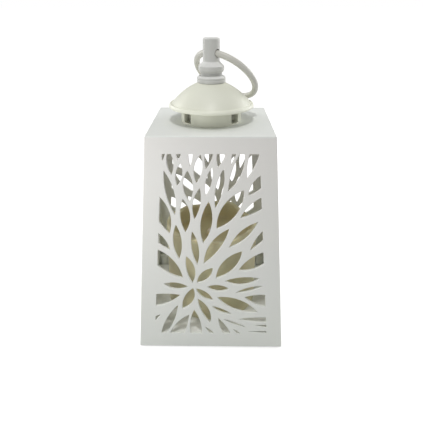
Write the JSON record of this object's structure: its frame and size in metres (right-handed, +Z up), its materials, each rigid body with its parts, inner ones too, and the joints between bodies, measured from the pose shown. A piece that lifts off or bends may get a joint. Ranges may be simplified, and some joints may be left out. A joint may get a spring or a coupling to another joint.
{
  "type": "led lantern",
  "caption": "Tapered square lantern with pierced leaf walls over a battery candle, vented domed cap, turned finial and swinging carry ring.",
  "frame": {"origin": "centre of the square foot, on the ground plane under the rubber feet", "axes": "+Z up through the finial, -Y towards the wall that faces the camera, +X to its right"},
  "size_m": [0.113, 0.113, 0.2259],
  "materials": {
    "white_shell": "satin moulded white with soft edges",
    "cream_cap": "semi-gloss cream",
    "grey_finial": "semi-gloss pale grey",
    "cream_ring": "semi-gloss warm grey",
    "base_plastic": "satin moulded off-white",
    "candle_wax": "soft waxy cream",
    "lens": "frosted warm white",
    "led_epoxy": "clear warm white epoxy",
    "screw_steel": "zinc plated",
    "contact_steel": "nickel plated",
    "foot_rubber": "matt",
    "board": "solder mask",
    "chip": "moulded black",
    "cell_jacket": "printed film jacket",
    "lead_red": "insulated lead",
    "lead_black": "insulated lead",
    "switch_black": "moulded black"
  },
  "bodies": {
    "lantern": {"housing": "white_shell", "chimney_collar": "cream_cap", "cap_screws": "screw_steel", "dome_cap": "cream_cap", "finial": "grey_finial", "finial_screw": "screw_steel", "base_plate": "base_plastic", "base_screws": "screw_steel", "rubber_feet": "foot_rubber", "floor_panel": "base_plastic", "floor_screws": "screw_steel", "candle_shell": "candle_wax", "candle_screws": "screw_steel", "flame_lens": "lens", "led": "led_epoxy", "led_leads": "screw_steel", "led_board": "board", "control_chip": "chip", "board_screws": "screw_steel", "cells": "cell_jacket", "contact_plates": "contact_steel", "contact_springs": "contact_steel", "lead_red": "lead_red", "lead_switch": "lead_black", "lead_black": "lead_black", "switch_body": "switch_black", "switch_screws": "screw_steel"},
    "ring": {"carry_ring": "cream_ring"},
    "door": {"battery_door": "base_plastic"},
    "slider": {"switch_slider": "switch_black"}
  },
  "joints": [
    {"name": "ring_swing", "type": "hinge", "parent": "lantern", "child": "ring", "pos_m": [0, 0, 0.2159], "axis": [0.7771, -0.6293, 0], "range_deg": [0, 270]},
    {"name": "door_hinge", "type": "hinge", "parent": "lantern", "child": "door", "pos_m": [0, -0.02985, 0.00305], "axis": [-1, 0, 0], "range_deg": [0, 90]},
    {"name": "switch_slide", "type": "slide", "parent": "lantern", "child": "slider", "axis": [1, 0, 0], "range_m": [0, 0.004]}
  ]
}
